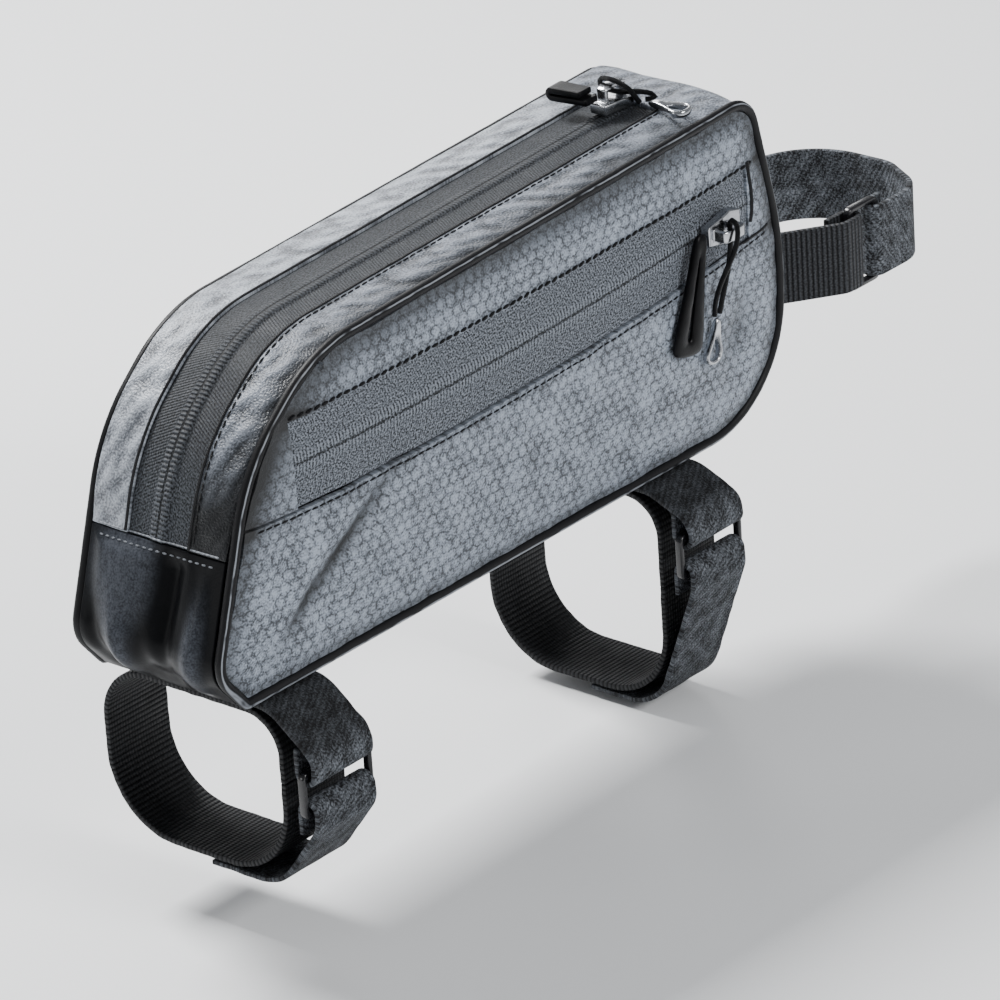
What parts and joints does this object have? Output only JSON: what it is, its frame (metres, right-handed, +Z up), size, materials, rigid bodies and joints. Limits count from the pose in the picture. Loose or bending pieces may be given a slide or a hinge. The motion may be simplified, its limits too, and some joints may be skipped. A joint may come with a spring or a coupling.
{
  "type": "top tube bag",
  "caption": "Slim cloth bag for a bicycle's top tube, with a long top zip, a side pocket zip, two strap loops underneath and a strap for the steerer.",
  "frame": {"origin": "on the underside of the base, in the middle of its width and midway between the two tube straps, where the bag sits on the top tube", "axes": "+X forward along the top tube towards the steerer, +Y to the rider's left, +Z up"},
  "size_m": [0.2675, 0.0649, 0.1533],
  "materials": {
    "side_cloth": "dark grey ripstop weave, soft sheen",
    "gusset_cloth": "grey plain weave with a smooth sheen",
    "coated_cloth": "glossy black coating",
    "zip_tape": "matt woven tape with a coil",
    "piping_cloth": "smooth binding",
    "webbing": "ribbed black webbing",
    "hook_and_loop": "fuzzy black loop pile",
    "black_plastic": "satin",
    "black_rubber": "satin",
    "bright_metal": "polished nickel",
    "black_cord": "braided cord"
  },
  "bodies": {
    "root": {"side_panel_left": "side_cloth", "side_panel_right_lower": "side_cloth", "side_panel_right_upper": "side_cloth", "gusset_left": "gusset_cloth", "gusset_right": "gusset_cloth", "front_panel": "gusset_cloth", "nose_panel": "coated_cloth", "base_panel": "coated_cloth", "main_zip": "zip_tape", "pocket_zip": "zip_tape", "piping_left": "piping_cloth", "piping_right": "piping_cloth", "rear_strap_loop": "webbing", "rear_strap_flap": "hook_and_loop", "rear_strap_tail": "hook_and_loop", "rear_ring": "black_plastic", "front_strap_loop": "webbing", "front_strap_flap": "hook_and_loop", "front_strap_tail": "hook_and_loop", "front_ring": "black_plastic", "steerer_webbing": "webbing", "steerer_strap": "hook_and_loop", "steerer_ring": "black_plastic", "pocket_slider": "bright_metal", "pocket_cord_end": "bright_metal", "pocket_pull": "black_rubber", "pocket_cord": "black_cord", "main_slider": "bright_metal", "main_cord_end": "bright_metal", "main_pull": "black_rubber", "main_cord": "black_cord"}
  },
  "joints": []
}
